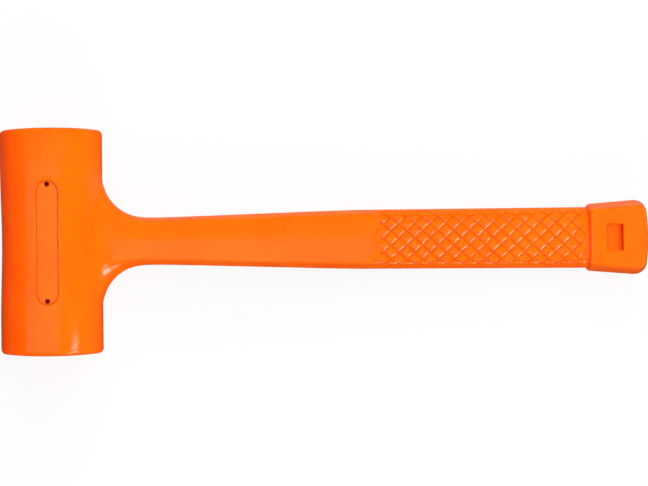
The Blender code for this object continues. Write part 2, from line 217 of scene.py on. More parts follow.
def begin(name, add, **settings):
    """Adds a primitive on its own, at its size and place, and names it."""
    if bpy.context.mode != "OBJECT":
        bpy.ops.object.mode_set(mode="OBJECT")
    bpy.ops.object.select_all(action="DESELECT")
    add(**settings)
    piece = bpy.context.object
    piece.name = name
    piece.data.name = name
    return piece


def open_mesh(piece):
    bpy.ops.object.select_all(action="DESELECT")
    piece.select_set(True)
    bpy.context.view_layer.objects.active = piece
    bpy.ops.object.mode_set(mode="EDIT")
    bpy.ops.mesh.select_mode(type="VERT")
    bpy.ops.mesh.select_all(action="SELECT")


def close_mesh():
    bpy.ops.object.mode_set(mode="OBJECT")


def pick(piece, kind, test):
    """Selects the points, edges or faces that pass a test, and nothing else."""
    bpy.ops.mesh.select_mode(type={"verts": "VERT", "edges": "EDGE", "faces": "FACE"}[kind])
    bpy.ops.mesh.select_all(action="DESELECT")
    bm = bmesh.from_edit_mesh(piece.data)
    for item in getattr(bm, kind):
        if test(item):
            item.select_set(True)
    bm.select_flush_mode()
    bmesh.update_edit_mesh(piece.data)


def apply_modifier(piece, kind, **settings):
    bpy.ops.object.select_all(action="DESELECT")
    piece.select_set(True)
    bpy.context.view_layer.objects.active = piece
    modifier = piece.modifiers.new(kind.title(), kind)
    for key, value in settings.items():
        setattr(modifier, key, value)
    bpy.ops.object.modifier_apply(modifier=modifier.name)


def discard(piece):
    mesh = piece.data
    bpy.data.objects.remove(piece)
    bpy.data.meshes.remove(mesh)


def lay_down(piece):
    """Turns a piece from the hammer's axes to where the hammer lies, with its place in its mesh."""
    bpy.ops.object.select_all(action="DESELECT")
    piece.select_set(True)
    bpy.context.view_layer.objects.active = piece
    piece.matrix_world = hammer_axes
    bpy.ops.object.transform_apply(location=True, rotation=True, scale=True)


def spun(name, profile, steps):
    """Draws a profile of (radius, height) points from one point, and spins it round the head's axis."""
    piece = begin(name, bpy.ops.mesh.primitive_plane_add, size=0.001)
    open_mesh(piece)
    bpy.ops.mesh.merge(type="CENTER")
    here = Vector((0, 0, 0))
    for place, (radius, height) in enumerate(profile):
        there = Vector((radius, height, 0))
        if place == 0:
            bpy.ops.transform.translate(value=there - here)
        else:
            bpy.ops.mesh.extrude_vertices_move(TRANSFORM_OT_translate={"value": there - here})
        here = there
    bpy.ops.mesh.select_all(action="SELECT")
    bpy.ops.mesh.spin(steps=steps, angle=math.tau, center=(0, 0, 0), axis=(0, 1, 0))
    bpy.ops.mesh.select_all(action="SELECT")
    bpy.ops.mesh.remove_doubles(threshold=SAME_POINT)
    bpy.ops.mesh.normals_make_consistent(inside=False)
    close_mesh()
    return piece


def pull(piece, rings):
    """Extrudes the piece's one open loop from ring to ring, each point to its own next place."""
    for now, after in zip(rings, rings[1:]):
        pick(piece, "edges", lambda edge: edge.is_boundary)
        bpy.ops.mesh.extrude_edges_indiv()
        bm = bmesh.from_edit_mesh(piece.data)
        for vert in bm.verts:
            if vert.select:
                nearest = min(range(len(now)), key=lambda k: (vert.co - now[k]).length_squared)
                vert.co = after[nearest]
        bmesh.update_edit_mesh(piece.data)


def head_radius(y):
    share = min(1, abs(y) / (RIM_HEIGHT - END_STRAIGHT))
    return WAIST_RADIUS + HEAD_SWELL * (1 - math.cos(math.pi * share)) / 2


def on_head(turn, y, lift=0.0):
    """A point on the head's side, by its turn from the handle towards the front and its height."""
    radius = head_radius(y) + lift
    return Vector((radius * math.cos(turn), y, radius * math.sin(turn)))


def head_profile(ease_steps, rim_steps, rows):
    """The head's outline from one face's centre to the other's: flat, ease, rim and side."""
    rim_middle = END_RADIUS - RIM_RADIUS
    land = rim_middle + RIM_RADIUS * math.sin(FACE_SLOPE) - FACE_EASE
    upper = [(0, HEAD_HALF), (land / 2, HEAD_HALF)]
    for k in range(ease_steps):
        share = k / ease_steps
        upper.append((land + FACE_EASE * share, HEAD_HALF - FACE_CROWN * share**2))
    for k in range(rim_steps + 1):
        turn = (math.pi / 2 - FACE_SLOPE) * (1 - k / rim_steps)
        radius = rim_middle + RIM_RADIUS * math.cos(turn)
        upper.append((radius, RIM_HEIGHT + RIM_RADIUS * math.sin(turn)))
    lower = [(radius, -y) for radius, y in reversed(upper)]
    return upper + [(head_radius(y), y) for y in sorted(rows, reverse=True)] + lower


def window_ring(half_steps, middle):
    """The points round a window in the head, from the middle of its upper side."""
    top, bottom = WINDOW_ROWS[-1], WINDOW_ROWS[0]
    places = [(k, top) for k in range(half_steps)]
    places += [(half_steps, y) for y in reversed(WINDOW_ROWS)]
    places += [(k, bottom) for k in range(half_steps - 1, -half_steps, -1)]
    places += [(-half_steps, y) for y in WINDOW_ROWS]
    places += [(k, top) for k in range(1 - half_steps, 0)]
    return [on_head(middle + k * SIDE_TURN, y) for k, y in places]


def open_window(piece, half_steps, middle):
    """Removes the faces of the head's side within a window."""

    def inside(face):
        centre = face.calc_center_median()
        turn = math.atan2(centre.z, centre.x) - middle
        near = math.hypot(centre.x, centre.z) > WAIST_RADIUS * 0.9
        return near and abs(turn) < half_steps * SIDE_TURN and abs(centre.y) < WINDOW_ROWS[-1]

    pick(piece, "faces", inside)
    bpy.ops.mesh.delete(type="FACE")


def section_angles():
    """The way that each point of a handle section faces, all round."""
    crease = [SIDE_DRAFT + CREASE_TURN * k / CREASE_STEPS for k in range(CREASE_STEPS + 1)]
    upper = [SIDE_DRAFT, *crease, math.pi / 2]
    front = upper + [math.pi - angle for angle in reversed(upper)]
    return [0.0, *front, math.pi, *[-angle for angle in reversed(front)]]


def handle_size(x):
    """Half the handle's width and half its thickness at a place along it."""
    share = min(1, max(0, (x - TAPER_START) / (TAPER_END - TAPER_START)))
    width = NECK_HALF_WIDTH + (GRIP_HALF_WIDTH - NECK_HALF_WIDTH) * share
    along = max(0, (x - GRIP_START) / (POMMEL_START - GRIP_START))
    width += (TAIL_HALF_WIDTH - GRIP_HALF_WIDTH) * along
    return width, NECK_HALF_THICKNESS + (GRIP_HALF_THICKNESS - NECK_HALF_THICKNESS) * share


def half_flat(x, radius=CREASE_RADIUS):
    """How wide the handle's front is from its middle line to a crease."""
    width, thickness = handle_size(x)
    corner = width - (thickness - FRONT_CROWN) * math.tan(SIDE_DRAFT)
    return corner - radius * math.tan(CREASE_TURN / 2)


def on_front(x, over):
    """A (y, z) point on the handle's front, over the skin from its middle line, and the way it faces."""
    radius = UPPER_CREASE_RADIUS if over > 0 else CREASE_RADIUS
    flat = half_flat(x, radius)
    reach = abs(over)
    facing = math.pi / 2 - min(CREASE_TURN, max(0, reach - flat) / radius)
    down = max(0, reach - flat - radius * CREASE_TURN)
    y = min(reach, flat) + radius * math.cos(facing) + down * math.sin(SIDE_DRAFT)
    z = handle_size(x)[1] - FRONT_CROWN * min(1, reach / flat) ** 2
    z -= radius * (1 - math.sin(facing)) + down * math.cos(SIDE_DRAFT)
    return (y, z, facing) if over > 0 else (-y, z, math.pi - facing)


def crease_places(x, radius):
    """Five places over the skin round a crease, from its wall to the front."""
    flat = half_flat(x, radius)
    return [flat + radius * CREASE_TURN * k / CREASE_STEPS for k in range(CREASE_STEPS, -1, -1)]


def lozenge_line(x, number):
    """How far over the skin a line of lozenges lies, counted down from one in the upper crease."""
    half = half_flat(x) + LATTICE_EDGE
    return half - 2 * half * number / LOZENGES_ACROSS


def front_places(x, lattice):
    """Where a section's fourteen front points lie over the skin: wall, crease, front, crease and wall.

    On the grip, six of them stand one lozenge apart: each wall's, one in the upper crease and three in front.
    """
    upper, lower = crease_places(x, UPPER_CREASE_RADIUS), crease_places(x, CREASE_RADIUS)
    if lattice:
        lines = [lozenge_line(x, number) for number in range(-1, 5)]
        above = [lines[0], *upper[:2], lines[1], (lines[1] + upper[-1]) / 2, upper[-1]]
        return [*above, *lines[2:5], *[-place for place in reversed(lower[:4])], lines[5]]
    halves = []
    for crease, side in ((upper, 1), (lower, -1)):
        wall = crease[0] + WALL_SHARE * on_front(x, side * crease[0])[1] / math.cos(SIDE_DRAFT)
        halves.append([wall, *crease, crease[-1] / 3])
    return halves[0] + [-place for place in reversed(halves[1])]


def handle_section(x, lattice=False):
    """Thirty (y, z) points round the handle: parting point, front, parting point and back."""
    front = [on_front(x, over)[:2] for over in front_places(x, lattice)]
    # The parting points stand out, because smoothing draws them in
    width = handle_size(x)[0]
    upper_parting = width + (width - front[0][0]) / 2
    lower_parting = width + (width + front[-1][0]) / 2
    back = [(y, -z) for y, z in reversed(front)]
    return [(upper_parting, 0), *front, (-lower_parting, 0), *back]


def across(x, points):
    return [Vector((x, y, z)) for y, z in points]


def fillet_rings():
    """Rings of the fillet that a ball leaves as it rolls round the neck, from the head to the handle."""
    columns = []
    for (y, z), angle in zip(handle_section(0), section_angles()):
        facing = (math.cos(angle), math.sin(angle))
        centre_y = y + NECK_FILLET * facing[0]
        centre_z = z + NECK_FILLET * facing[1]
        centre_x = math.sqrt((head_radius(centre_y) + NECK_FILLET) ** 2 - centre_z**2)
        centre = Vector((centre_x, centre_y, centre_z))
        to_handle = Vector((0, -facing[0], -facing[1]))
        to_head = -Vector((centre_x, 0, centre_z)).normalized()
        shares = [k / FILLET_STEPS for k in range(FILLET_STEPS + 1)]
        columns.append([centre + NECK_FILLET * to_head.slerp(to_handle, share) for share in shares])
    return [list(ring) for ring in zip(*columns)]


def grip_stations():
    """Where the grip's rows of lozenges begin and end, the last of them inside the pommel."""
    end = POMMEL_START + GRIP_OVERRUN
    return [GRIP_START + (end - GRIP_START) * k / GRIP_ROWS for k in range(GRIP_ROWS + 1)]


def pommel_plan(inset, step_inset, steps=8):
    """The pommel's plan, drawn in by one inset at its sides and end, and by another at its step."""
    side = math.pi / 2 + POMMEL_FLARE
    end = POMMEL_END - inset
    corners = (
        (POMMEL_START + step_inset, STEP_CORNER, math.pi, (math.pi, side)),
        (end - POMMEL_END_CROWN, POMMEL_CORNER, END_SLOPE, (side, END_SLOPE)),
    )
    half = []
    for x, radius, facing, (first, last) in corners:
        rounding = max(radius - inset, POMMEL_EDGE)
        middle = x - rounding * math.cos(facing)
        edge = POMMEL_HALF_WIDTH + (middle - POMMEL_START) * math.tan(POMMEL_FLARE)
        out = edge - (inset + rounding) / math.cos(POMMEL_FLARE)
        for k in range(steps + 1):
            turn = first + (last - first) * k / steps
            half.append((middle + rounding * math.cos(turn), out + rounding * math.sin(turn)))
    corner = half[-1][1]
    for k in range(1, steps):
        share = 1 - k / steps
        half.append((end - POMMEL_END_CROWN * share**2, corner * share))
    return [*half, (end, 0), *[(x, -y) for x, y in reversed(half)]]


def pommel_rings():
    """Plans of the pommel from its back to its front: flat, edge, wall, parting line, and again."""
    draft = math.tan(POMMEL_DRAFT)
    edge_turn = math.pi / 2 - POMMEL_DRAFT
    middle = POMMEL_HALF_THICKNESS * draft + POMMEL_EDGE * math.tan(edge_turn / 2)
    edge = []
    for k in range(POMMEL_EDGE_STEPS + 1):
        turn = POMMEL_DRAFT + edge_turn * k / POMMEL_EDGE_STEPS
        rise = POMMEL_HALF_THICKNESS - POMMEL_EDGE * (1 - math.sin(turn))
        edge.append((middle - POMMEL_EDGE * math.cos(turn), rise))
    foot = edge[0]
    # Rings close to the edge and the parting line keep the wall and the flat true
    wall = [(z * draft, z) for z in (PARTING_HOLD, foot[1] - EDGE_HOLD)]
    front = [*wall, *edge, (middle + EDGE_HOLD, POMMEL_HALF_THICKNESS)]
    levels = [(inset, -z) for inset, z in reversed(front)] + [(PARTING_INSET, 0.0)] + front
    rings = []
    for inset, z in levels:
        plan = pommel_plan(inset, max(0.0, inset - foot[0]))
        rings.append([Vector((x, y, z)) for x, y in plan])
    return rings


def make_pommel():
    """The pommel's block, pulled from its back up to its front."""
    rings = pommel_rings()
    count = len(rings[0])
    block = begin("pommel_block", bpy.ops.mesh.primitive_circle_add, vertices=count, fill_type="NGON")
    open_mesh(block)
    bm = bmesh.from_edit_mesh(block.data)
    bm.verts.ensure_lookup_table()
    for vert, place in zip(bm.verts, rings[0]):
        vert.co = place
    bmesh.update_edit_mesh(block.data)
    pull(block, rings)
    pick(block, "edges", lambda edge: edge.is_boundary)
    bpy.ops.mesh.edge_face_add()
    bpy.ops.mesh.select_all(action="SELECT")
    bpy.ops.mesh.normals_make_consistent(inside=False)
    close_mesh()
    return block


def label_rings():
    """Rings from the window in the head's front down the recess's wall to a spine on its floor."""
    straight = LABEL_HALF_LENGTH - LABEL_HALF_WIDTH
    # Each end stands out a little, because smoothing draws it in
    fullness = {0: 1.10, 1: 1.10, 2: 1.04}
    side_places = {WINDOW_ROWS[4]: straight - 0.0030, WINDOW_ROWS[3]: straight * 0.4}

    def ring(out, lift):
        points = []
        radius = max(0.0, LABEL_HALF_WIDTH + out)
        for place in window_ring(LABEL_WINDOW, math.pi / 2):
            end = math.copysign(1, place.y)
            step = round((math.atan2(place.z, place.x) - math.pi / 2) / SIDE_TURN)
            if abs(abs(place.y) - WINDOW_ROWS[-1]) < SAME_POINT:
                reach = radius * fullness[abs(step)]
                y = end * (straight + reach * math.cos(step * math.pi / 4))
                side = reach * math.sin(step * math.pi / 4)
            else:
                row = min(side_places, key=lambda known: abs(known - abs(place.y)))
                y = end * side_places[row]
                side = math.copysign(radius, step)
            points.append(on_head(math.pi / 2 + side / WAIST_RADIUS, y - LABEL_DROP, lift))
        return points

    # How far outside the recess's outline each ring lies, and how far it is raised
    floor = -LABEL_DEPTH
    steps = [
        (0.0018, 0.00002),
        (0.0006, 0.00004),
        (0.0001, 0.0),
        (0.0, floor * 0.97),
        (-0.0003, floor),
        (-0.0022, floor),
        (-1.0, floor),
    ]
    return [window_ring(LABEL_WINDOW, math.pi / 2)] + [ring(out, lift) for out, lift in steps]


def spread(x, over, side):
    """Where a point of the grip's skin lies when the skin is spread out flat, clear of the hammer."""
    height = lozenge_line(x, 0) - lozenge_line(x, 1)
    return Vector((x, over / height * LOZENGE_HEIGHT, side))


def wrapped(place, level):
    """Where a point of the flat skin lies once it is wrapped round the grip, raised to its level."""
    height = lozenge_line(place.x, 0) - lozenge_line(place.x, 1)
    y, z, facing = on_front(place.x, place.y / LOZENGE_HEIGHT * height)
    y += level * math.cos(facing)
    z += level * math.sin(facing)
    return Vector((place.x, y, math.copysign(z, place.z)))


def cut_lattice(piece):
    """Turns the grip's cells into lozenges that run over both creases, each a pad between grooves."""
    known = []
    for station in grip_stations():
        for number, over in enumerate(front_places(station, True), start=1):
            y, z, _ = on_front(station, over)
            for side in (1, -1):
                known.append((Vector((station, y, z * side)), spread(station, over, side), number))

    def found(vert):
        return next((entry for entry in known if (entry[0] - vert.co).length < SAME_PLACE), None)

    # The creases' own lines go, so that a lozenge can bend over them
    bm = bmesh.from_edit_mesh(piece.data)
    creased = set()
    for vert in bm.verts:
        entry = found(vert)
        if entry and entry[2] in CREASE_POINTS:
            creased.add(tuple(vert.co))

    def crease_line(edge):
        ends = [vert.co for vert in edge.verts]
        return abs(ends[0].x - ends[1].x) > 1e-3 and all(tuple(end) in creased for end in ends)

    pick(piece, "edges", crease_line)
    bpy.ops.mesh.dissolve_edges(use_verts=True)

    # The skin is spread out flat to be cut
    bm = bmesh.from_edit_mesh(piece.data)
    for vert in bm.verts:
        entry = found(vert)
        if entry:
            vert.co = entry[1]
    bmesh.update_edit_mesh(piece.data)
    pick(piece, "faces", lambda face: all(abs(vert.co.z) > CLEAR_OF_HAMMER for vert in face.verts))
    bm = bmesh.from_edit_mesh(piece.data)
    cells = {face for face in bm.faces if face.select}
    corners = {tuple(vert.co) for face in cells for vert in face.verts}
    border = {tuple(v.co) for f in cells for v in f.verts if any(g not in cells for g in v.link_faces)}
    bpy.ops.mesh.poke()

    def is_corner(vert):
        return tuple(vert.co) in corners

    def lattice_face(face):
        return len(face.verts) == 3 and sum(map(is_corner, face.verts)) == 2

    def grid_line(edge):
        both = all(map(is_corner, edge.verts))
        return both and len(edge.link_faces) == 2 and all(map(lattice_face, edge.link_faces))

    bm = bmesh.from_edit_mesh(piece.data)
    centres = {tuple(v.co) for f in bm.faces if f.select for v in f.verts if not is_corner(v)}
    pick(piece, "edges", grid_line)
    bpy.ops.mesh.dissolve_edges(use_verts=False)

    # Each lozenge is drawn in by steps, and the lines between its steps' corners stay sharp
    levels = {place: 0.0 if place in border else -GROOVE_DEPTH for place in corners | centres}
    depths = {place: 0 for place in levels}
    last = grip_stations()[-1]

    def lozenge(face):
        places = [vert.co for vert in face.verts]
        whole = len(places) == 4 and any(tuple(place) in centres for place in places)
        return whole and all(place.x < last - 1e-4 for place in places)

    pick(piece, "faces", lozenge)
    for number, (thickness, level) in enumerate(PAD_STEPS, start=1):
        bpy.ops.mesh.inset(thickness=thickness, depth=0, use_individual=True)
        bm = bmesh.from_edit_mesh(piece.data)
        for vert in (v for face in bm.faces if face.select for v in face.verts):
            levels[tuple(vert.co)] = level
            depths[tuple(vert.co)] = number

    def mitre(edge):
        ends = [tuple(vert.co) for vert in edge.verts]
        steps = [depths.get(end) for end in ends]
        return None not in steps and steps[0] != steps[1]

    pick(piece, "edges", mitre)
    bpy.ops.transform.edge_crease(value=PAD_CORNER_CREASE)
    bm = bmesh.from_edit_mesh(piece.data)
    for vert in bm.verts:
        if abs(vert.co.z) > CLEAR_OF_HAMMER:
            vert.co = wrapped(vert.co, levels[tuple(vert.co)])
    bmesh.update_edit_mesh(piece.data)


def make_cage():
    """The casing's cage: a spun head, with the label recess, neck, handle and grip pulled from its side."""
    rows = [*WINDOW_ROWS, -OUTER_ROW, OUTER_ROW]
    cage = spun("cast_casing", head_profile(CAGE_STEPS, CAGE_STEPS, rows), HEAD_SIDES)
    open_mesh(cage)
    open_window(cage, LABEL_WINDOW, math.pi / 2)
    pull(cage, label_rings())
    bpy.ops.mesh.select_all(action="SELECT")
    bpy.ops.mesh.remove_doubles(threshold=SAME_POINT)
    open_window(cage, NECK_WINDOW, 0)
    taper = TAPER_END - TAPER_START
    stations = [TAPER_START + taper * k / TAPER_STEPS for k in range(TAPER_STEPS + 1)]
    grip = [across(x, handle_section(x, lattice=True)) for x in grip_stations()]
    rings = [window_ring(NECK_WINDOW, 0), *fillet_rings()]
    rings += [across(x, handle_section(x)) for x in stations]
    rings += grip
    hidden_end = handle_section(POMMEL_START, lattice=True)
    rings += [across(POMMEL_START + deep, hidden_end) for deep in HIDDEN_ENDS]
    pull(cage, rings)
    pick(cage, "edges", lambda edge: edge.is_boundary)
    bpy.ops.mesh.edge_face_add()
    bpy.ops.mesh.select_all(action="SELECT")
    bpy.ops.mesh.normals_make_consistent(inside=False)
    cut_lattice(cage)
    close_mesh()
    return cage


def hold_to_head(cage):
    """Smooths the cage, and lays every point that belongs to the head back on its turned form."""
    group = cage.vertex_groups.new(name="head")
    held = []
    for vert in cage.data.vertices:
        x, y, z = vert.co
        on_side = abs(math.hypot(x, z) - head_radius(y)) < ON_SKIN
        if on_side or (abs(y) > RIM_HEIGHT - SAME_POINT and x < HEAD_REACH):
            held.append(vert.index)
    group.add(held, 1.0, "REPLACE")
    rows = [RIM_HEIGHT * (k / FORM_HALF_ROWS - 1) for k in range(1, 2 * FORM_HALF_ROWS)]
    form = spun("head_form", head_profile(FORM_STEPS, FORM_STEPS, rows), FORM_SIDES)
    apply_modifier(cage, "SUBSURF", levels=2, render_levels=2)
    apply_modifier(cage, "SHRINKWRAP", target=form, vertex_group="head")
    cage.vertex_groups.clear()
    discard(form)


def pocket_cutter(side):
    """A rectangular plug with rounded corners and a flared mouth."""
    floor = POMMEL_HALF_THICKNESS - POCKET_DEPTH
    mouth = POMMEL_HALF_THICKNESS - POCKET_FLARE_START
    plug = begin("pocket_plug", bpy.ops.mesh.primitive_cube_add, size=1, location=(0, 0, 0))
    open_mesh(plug)
    bpy.ops.transform.resize(value=(2 * POCKET_HALF_LENGTH, 2 * POCKET_HALF_WIDTH, mouth - floor))
    bpy.ops.transform.translate(value=(POCKET_CENTRE, 0, (mouth + floor) / 2))
    pick(plug, "edges", lambda edge: abs(edge.verts[0].co.z - edge.verts[1].co.z) > 1e-4)
    bpy.ops.mesh.bevel(offset=POCKET_CORNER, segments=4, affect="EDGES")
    pick(plug, "faces", lambda face: face.normal.z > 0.9)
    bpy.ops.mesh.inset(thickness=POCKET_FLARE, depth=POCKET_FLARE, use_outset=True)
    bpy.ops.mesh.extrude_region_move(TRANSFORM_OT_translate={"value": (0, 0, PLUG_OVERRUN)})
    bpy.ops.mesh.select_all(action="SELECT")
    if side < 0:
        bpy.ops.transform.resize(value=(1, 1, -1))
    bpy.ops.mesh.normals_make_consistent(inside=False)
    close_mesh()
    return plug


def pin_cutter(y):
    """A round plug through the label's floor to the canister, with a small flare at its mouth."""
    floor = head_radius(y) - LABEL_DEPTH
    low = CANISTER_SPACE - PIN_OVERLAP
    plug = begin(
        "pin_plug",
        bpy.ops.mesh.primitive_cylinder_add,
        vertices=PLUG_SIDES,
        radius=PIN_HOLE_RADIUS,
        depth=floor - low,
        location=(0, y, (floor + low) / 2),
    )
    bpy.ops.object.transform_apply(location=True, rotation=True, scale=True)
    open_mesh(plug)
    pick(plug, "faces", lambda face: face.normal.z > 0.9)
    bpy.ops.mesh.extrude_region_move(TRANSFORM_OT_translate={"value": (0, 0, PIN_FLARE_DEPTH)})
    bpy.ops.transform.resize(value=(PIN_FLARE, PIN_FLARE, 1), center_override=(0, y, floor))
    bpy.ops.mesh.extrude_region_move(TRANSFORM_OT_translate={"value": (0, 0, PLUG_OVERRUN)})
    close_mesh()
    return plug


def canister_cutter():
    """A round plug as large as the canister and its clearance."""
    profile = [(0, CANISTER_HALF), (CANISTER_SPACE, CANISTER_HALF)]
    profile += [(radius, -height) for radius, height in reversed(profile)]
    return spun("canister_plug", profile, CANISTER_SIDES)


def rod_cutter():
    """A round plug down the handle, wide at its foot and flattened at its tail."""
    plug = begin(
        "rod_plug",
        bpy.ops.mesh.primitive_cylinder_add,
        vertices=PLUG_SIDES,
        radius=ROD_FOOT_SPACE,
        depth=ROD_FOOT_DEPTH,
        location=(ROD_FOOT_MIDDLE, 0, 0),
        rotation=(0, math.pi / 2, 0),
    )
    bpy.ops.object.transform_apply(location=True, rotation=True, scale=True)
    open_mesh(plug)
    for x, half_width, half_thickness in (
        (ROD_SHANK_START, ROD_SPACE, ROD_SPACE),
        (ROD_SHANK_END, ROD_SPACE, ROD_SPACE),
        (ROD_TAIL_START, *ROD_TAIL_SPACE),
        (ROD_TAIL, *ROD_TAIL_SPACE),
    ):
        pick(plug, "faces", lambda face: face.normal.x > 0.9)
        bm = bmesh.from_edit_mesh(plug.data)
        tip = [vert.co.copy() for face in bm.faces if face.select for vert in face.verts]
        step = x - tip[0].x
        width = max(abs(point.y) for point in tip)
        thickness = max(abs(point.z) for point in tip)
        bpy.ops.mesh.extrude_region_move(TRANSFORM_OT_translate={"value": (step, 0, 0)})
        scale = (1, half_width / width, half_thickness / thickness)
        bpy.ops.transform.resize(value=scale, center_override=(x, 0, 0))
    close_mesh()
    return plug


def note_ridges(piece):
    """Keeps on each point how sharply the surface stands out, or falls in, around it."""
    bm = bmesh.new()
    bm.from_mesh(piece.data)
    bends = []
    for vert in bm.verts:
        total = 0.0
        for edge in vert.link_edges:
            step = edge.other_vert(vert).co - vert.co
            total -= 2 * vert.normal.dot(step) / max(step.length_squared, 1e-10)
        bends.append(total / max(1, len(vert.link_edges)))
    smooth = []
    for vert in bm.verts:
        around = [bends[edge.other_vert(vert).index] for edge in vert.link_edges]
        smooth.append((bends[vert.index] + sum(around)) / (1 + len(around)))
    bm.free()
    ridge = piece.data.attributes.new("ridge", "FLOAT", "POINT")
    ridge.data.foreach_set("value", [max(-1.0, min(1.0, bend / FULL_RIDGE)) for bend in smooth])


def make_casing(finish):
    """The whole casting: smoothed cage and pommel in one, with its pockets, pin holes and hollows cut."""
    casing = make_cage()
    hold_to_head(casing)
    pommel = make_pommel()
    apply_modifier(casing, "BOOLEAN", operation="UNION", object=pommel, solver="EXACT")
    discard(pommel)
    cutters = [pocket_cutter(1), pocket_cutter(-1)]
    cutters += [pin_cutter(PIN_PLACE - LABEL_DROP), pin_cutter(-PIN_PLACE - LABEL_DROP)]
    cutters += [canister_cutter(), rod_cutter()]
    for cutter in cutters:
        apply_modifier(casing, "BOOLEAN", operation="DIFFERENCE", object=cutter, solver="EXACT")
        discard(cutter)
    bpy.ops.object.shade_smooth_by_angle(angle=SHARP_ANGLE)
    note_ridges(casing)
    lay_down(casing)
    casing.data.materials.clear()
    casing.data.materials.append(finish)
    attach(casing, "hammer")
    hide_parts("casing")


class Value:
    """A node's output that takes part in Python expressions."""

    def __init__(self, finish, socket):
        self.finish = finish
        self.socket = socket

    def maths(self, operation, *terms):
        return self.finish.node("ShaderNodeMath", {"operation": operation}, dict(enumerate(terms)))

    def __add__(self, other):
        return self.maths("ADD", self, other)

    def __radd__(self, other):
        return self.maths("ADD", other, self)

    def __sub__(self, other):
        return self.maths("SUBTRACT", self, other)

    def __rsub__(self, other):
        return self.maths("SUBTRACT", other, self)

    def __mul__(self, other):
        return self.maths("MULTIPLY", self, other)

    def __rmul__(self, other):
        return self.maths("MULTIPLY", other, self)

    def __abs__(self):
        return self.maths("ABSOLUTE", self)

    def between(self, low, high):
        """0 below the first value, 1 above the second, and a smooth step from one to the other."""
        settings = {"interpolation_type": "SMOOTHSTEP"}
        sockets = {"Value": self, "From Min": low, "From Max": high}
        return self.finish.node("ShaderNodeMapRange", settings, sockets)


class Finish:
    """A material under way, or the studio's backdrop."""

    def __init__(self, name, blocks=bpy.data.materials, shader="Principled BSDF"):
        self.block = blocks.new(name)
        self.block.use_nodes = True
        self.tree = self.block.node_tree
        self.shader = self.tree.nodes[shader]

    def node(self, kind, settings=None, sockets=None, out=0):
        """Adds a node with its settings and the values or links of its sockets, and gives an output."""
        node = self.tree.nodes.new(kind)
        for key, value in (settings or {}).items():
            setattr(node, key, value)
        for key, value in (sockets or {}).items():
            if isinstance(value, Value):
                self.tree.links.new(value.socket, node.inputs[key])
            else:
                node.inputs[key].default_value = value
        return Value(self, node.outputs[out])

    def noise(self, place, scale, detail=2.0, roughness=0.5, distortion=0.0):
        sockets = {"Vector": place, "Scale": scale, "Detail": detail}
        sockets |= {"Roughness": roughness, "Distortion": distortion}
        return self.node("ShaderNodeTexNoise", {}, sockets)

    def mix(self, share, first, second):
        settings = {"data_type": "RGBA"}
        return self.node("ShaderNodeMix", settings, {0: share, 6: first, 7: second}, out=2)

    def bump(self, height):
        return self.node("ShaderNodeBump", {}, {"Strength": 1.0, "Distance": 1.0, "Height": height})

    def set(self, **sockets):
        """Sets or links the shader's own sockets."""
        for key, value in sockets.items():
            name = key.replace("_", " ")
            if isinstance(value, Value):
                self.tree.links.new(value.socket, self.shader.inputs[name])
            else:
                self.shader.inputs[name].default_value = value
        return self.block


def hammer_place(finish):
    """Object coordinates, turned and moved to the hammer's own axes."""
    place = finish.node("ShaderNodeTexCoord", out="Object")
    sockets = {"Vector": place, "Location": head_centre, "Rotation": (0, lie_angle, 0)}
    return finish.node("ShaderNodeMapping", {"vector_type": "TEXTURE"}, sockets)


def axis_of(finish, place, axis):
    return finish.node("ShaderNodeSeparateXYZ", {}, {0: place}, out=axis)


def pocket_floor_painted_light(finish, place):
    """1 on the floors of the pommel's pockets, which are painted paler, as painted light against their shade.
    """
    along = abs(axis_of(finish, place, "X") - POCKET_CENTRE)
    over = abs(axis_of(finish, place, "Y"))
    up = abs(axis_of(finish, place, "Z"))
    blur = 0.0003
    within = 1 - along.between(POCKET_HALF_LENGTH, POCKET_HALF_LENGTH + blur)
    within = within * (1 - over.between(POCKET_HALF_WIDTH, POCKET_HALF_WIDTH + blur))
    floor = POMMEL_HALF_THICKNESS - POCKET_DEPTH
    fade_start, fade_end = floor + 0.0004, floor + 0.0012
    return within * (1 - up.between(fade_start, fade_end))


def under_pins(finish, place):
    """1 on the canister's skin under the label's pin holes, where a red glow is painted."""
    along = abs(axis_of(finish, place, "X"))
    from_pin = abs(abs(axis_of(finish, place, "Y") + LABEL_DROP) - PIN_PLACE)
    full, faded = 0.0014, 0.0020
    near = (1 - along.between(full, faded)) * (1 - from_pin.between(full, faded))
    front_start, front_full = 0.010, 0.012
    return near * axis_of(finish, place, "Z").between(front_start, front_full)


